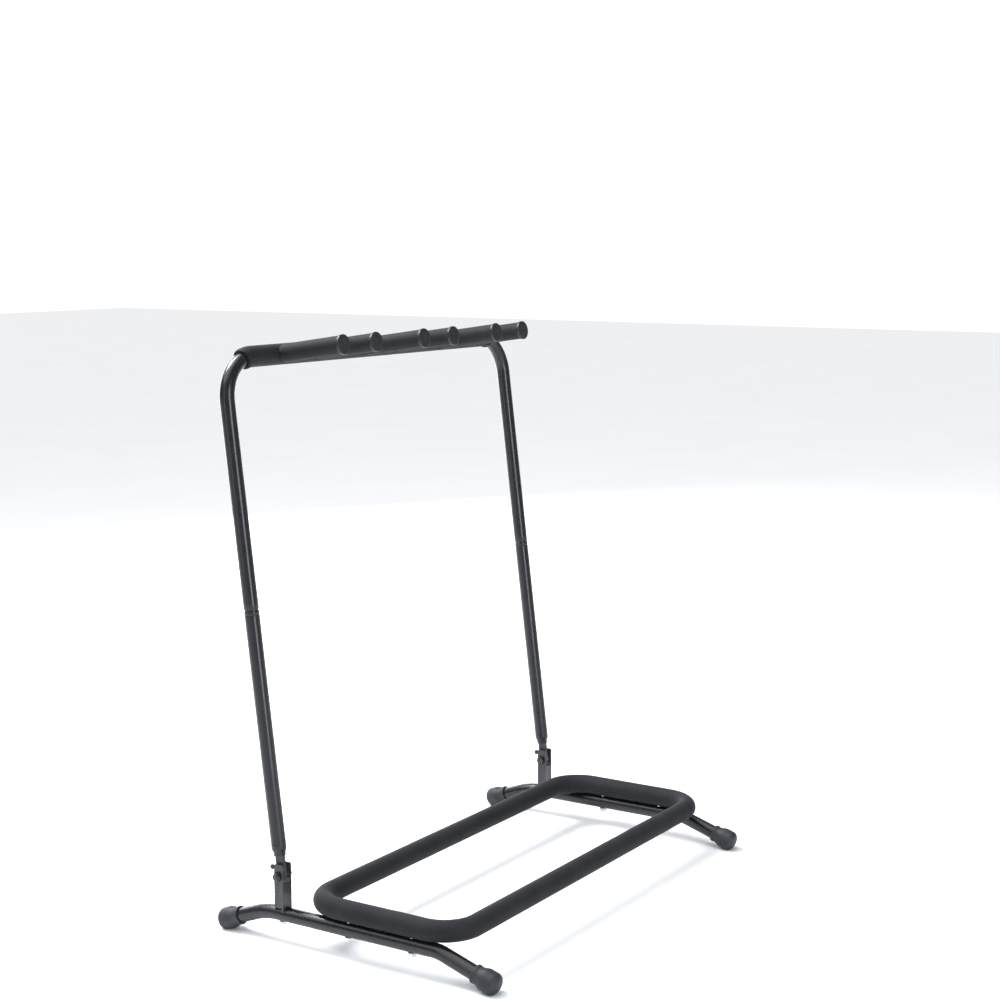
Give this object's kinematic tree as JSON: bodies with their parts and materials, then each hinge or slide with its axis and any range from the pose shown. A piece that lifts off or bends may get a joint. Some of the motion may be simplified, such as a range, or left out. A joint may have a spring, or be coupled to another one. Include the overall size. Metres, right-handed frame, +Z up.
{
  "type": "guitar rack",
  "caption": "Folding floor rack that holds guitars side by side: foam base loop on cross-legs and a leaning frame with padded neck pegs that folds forward.",
  "frame": {"origin": "on the floor, midway between the four feet", "axes": "+Z up, +X along the rack, -Y towards the guitars; the uprights lean towards +Y"},
  "size_m": [0.63, 0.4049, 0.7223],
  "materials": {
    "tube_paint": "satin black powder coat",
    "bracket_paint": "satin dark grey paint",
    "hidden_steel": "black paint under foam",
    "foam": "matte closed-cell foam",
    "rubber": "matte moulded rubber",
    "cap_plastic": "fine-textured moulded plastic",
    "zinc": "bright zinc plate",
    "dark_fastener": "black oxide",
    "nylon": "black nylon"
  },
  "bodies": {
    "base": {"left_cross_leg": "tube_paint", "right_cross_leg": "tube_paint", "left_front_foot": "rubber", "left_back_foot": "rubber", "right_front_foot": "rubber", "right_back_foot": "rubber", "left_loop_tube": "hidden_steel", "right_loop_tube": "hidden_steel", "loop_connectors": "hidden_steel", "loop_foam": "foam", "loop_bolts": "zinc", "loop_rivet_nuts": "zinc", "left_bracket": "bracket_paint", "right_bracket": "bracket_paint", "bracket_bolts": "zinc", "bracket_nuts": "zinc", "pivot_bolts": "dark_fastener", "pivot_nuts": "dark_fastener", "pivot_washers": "nylon", "stop_pins": "dark_fastener"},
    "lower_uprights": {"left_tongue": "bracket_paint", "right_tongue": "bracket_paint", "tongue_rivets": "dark_fastener", "left_lower_upright": "tube_paint", "right_lower_upright": "tube_paint", "left_spigot": "tube_paint", "right_spigot": "tube_paint"},
    "upper_frame": {"upper_frame_tube": "tube_paint", "crossbar_foam": "foam", "peg_rod_1": "hidden_steel", "peg_rod_2": "hidden_steel", "peg_rod_3": "hidden_steel", "peg_rod_4": "hidden_steel", "peg_rod_5": "hidden_steel", "peg_rod_6": "hidden_steel", "peg_foam_1": "foam", "peg_foam_2": "foam", "peg_foam_3": "foam", "peg_foam_4": "foam", "peg_foam_5": "foam", "peg_foam_6": "foam", "peg_cap_1": "cap_plastic", "peg_cap_2": "cap_plastic", "peg_cap_3": "cap_plastic", "peg_cap_4": "cap_plastic", "peg_cap_5": "cap_plastic", "peg_cap_6": "cap_plastic"}
  },
  "joints": [
    {"name": "frame_fold", "type": "hinge", "parent": "base", "child": "lower_uprights", "pos_m": [0, 0.106, 0.0825], "axis": [1, 0, 0], "range_deg": [0, 94]},
    {"name": "upper_frame_lift", "type": "slide", "parent": "lower_uprights", "child": "upper_frame", "axis": [0, 0.1253, 0.9921], "range_m": [0, 0.045]}
  ]
}
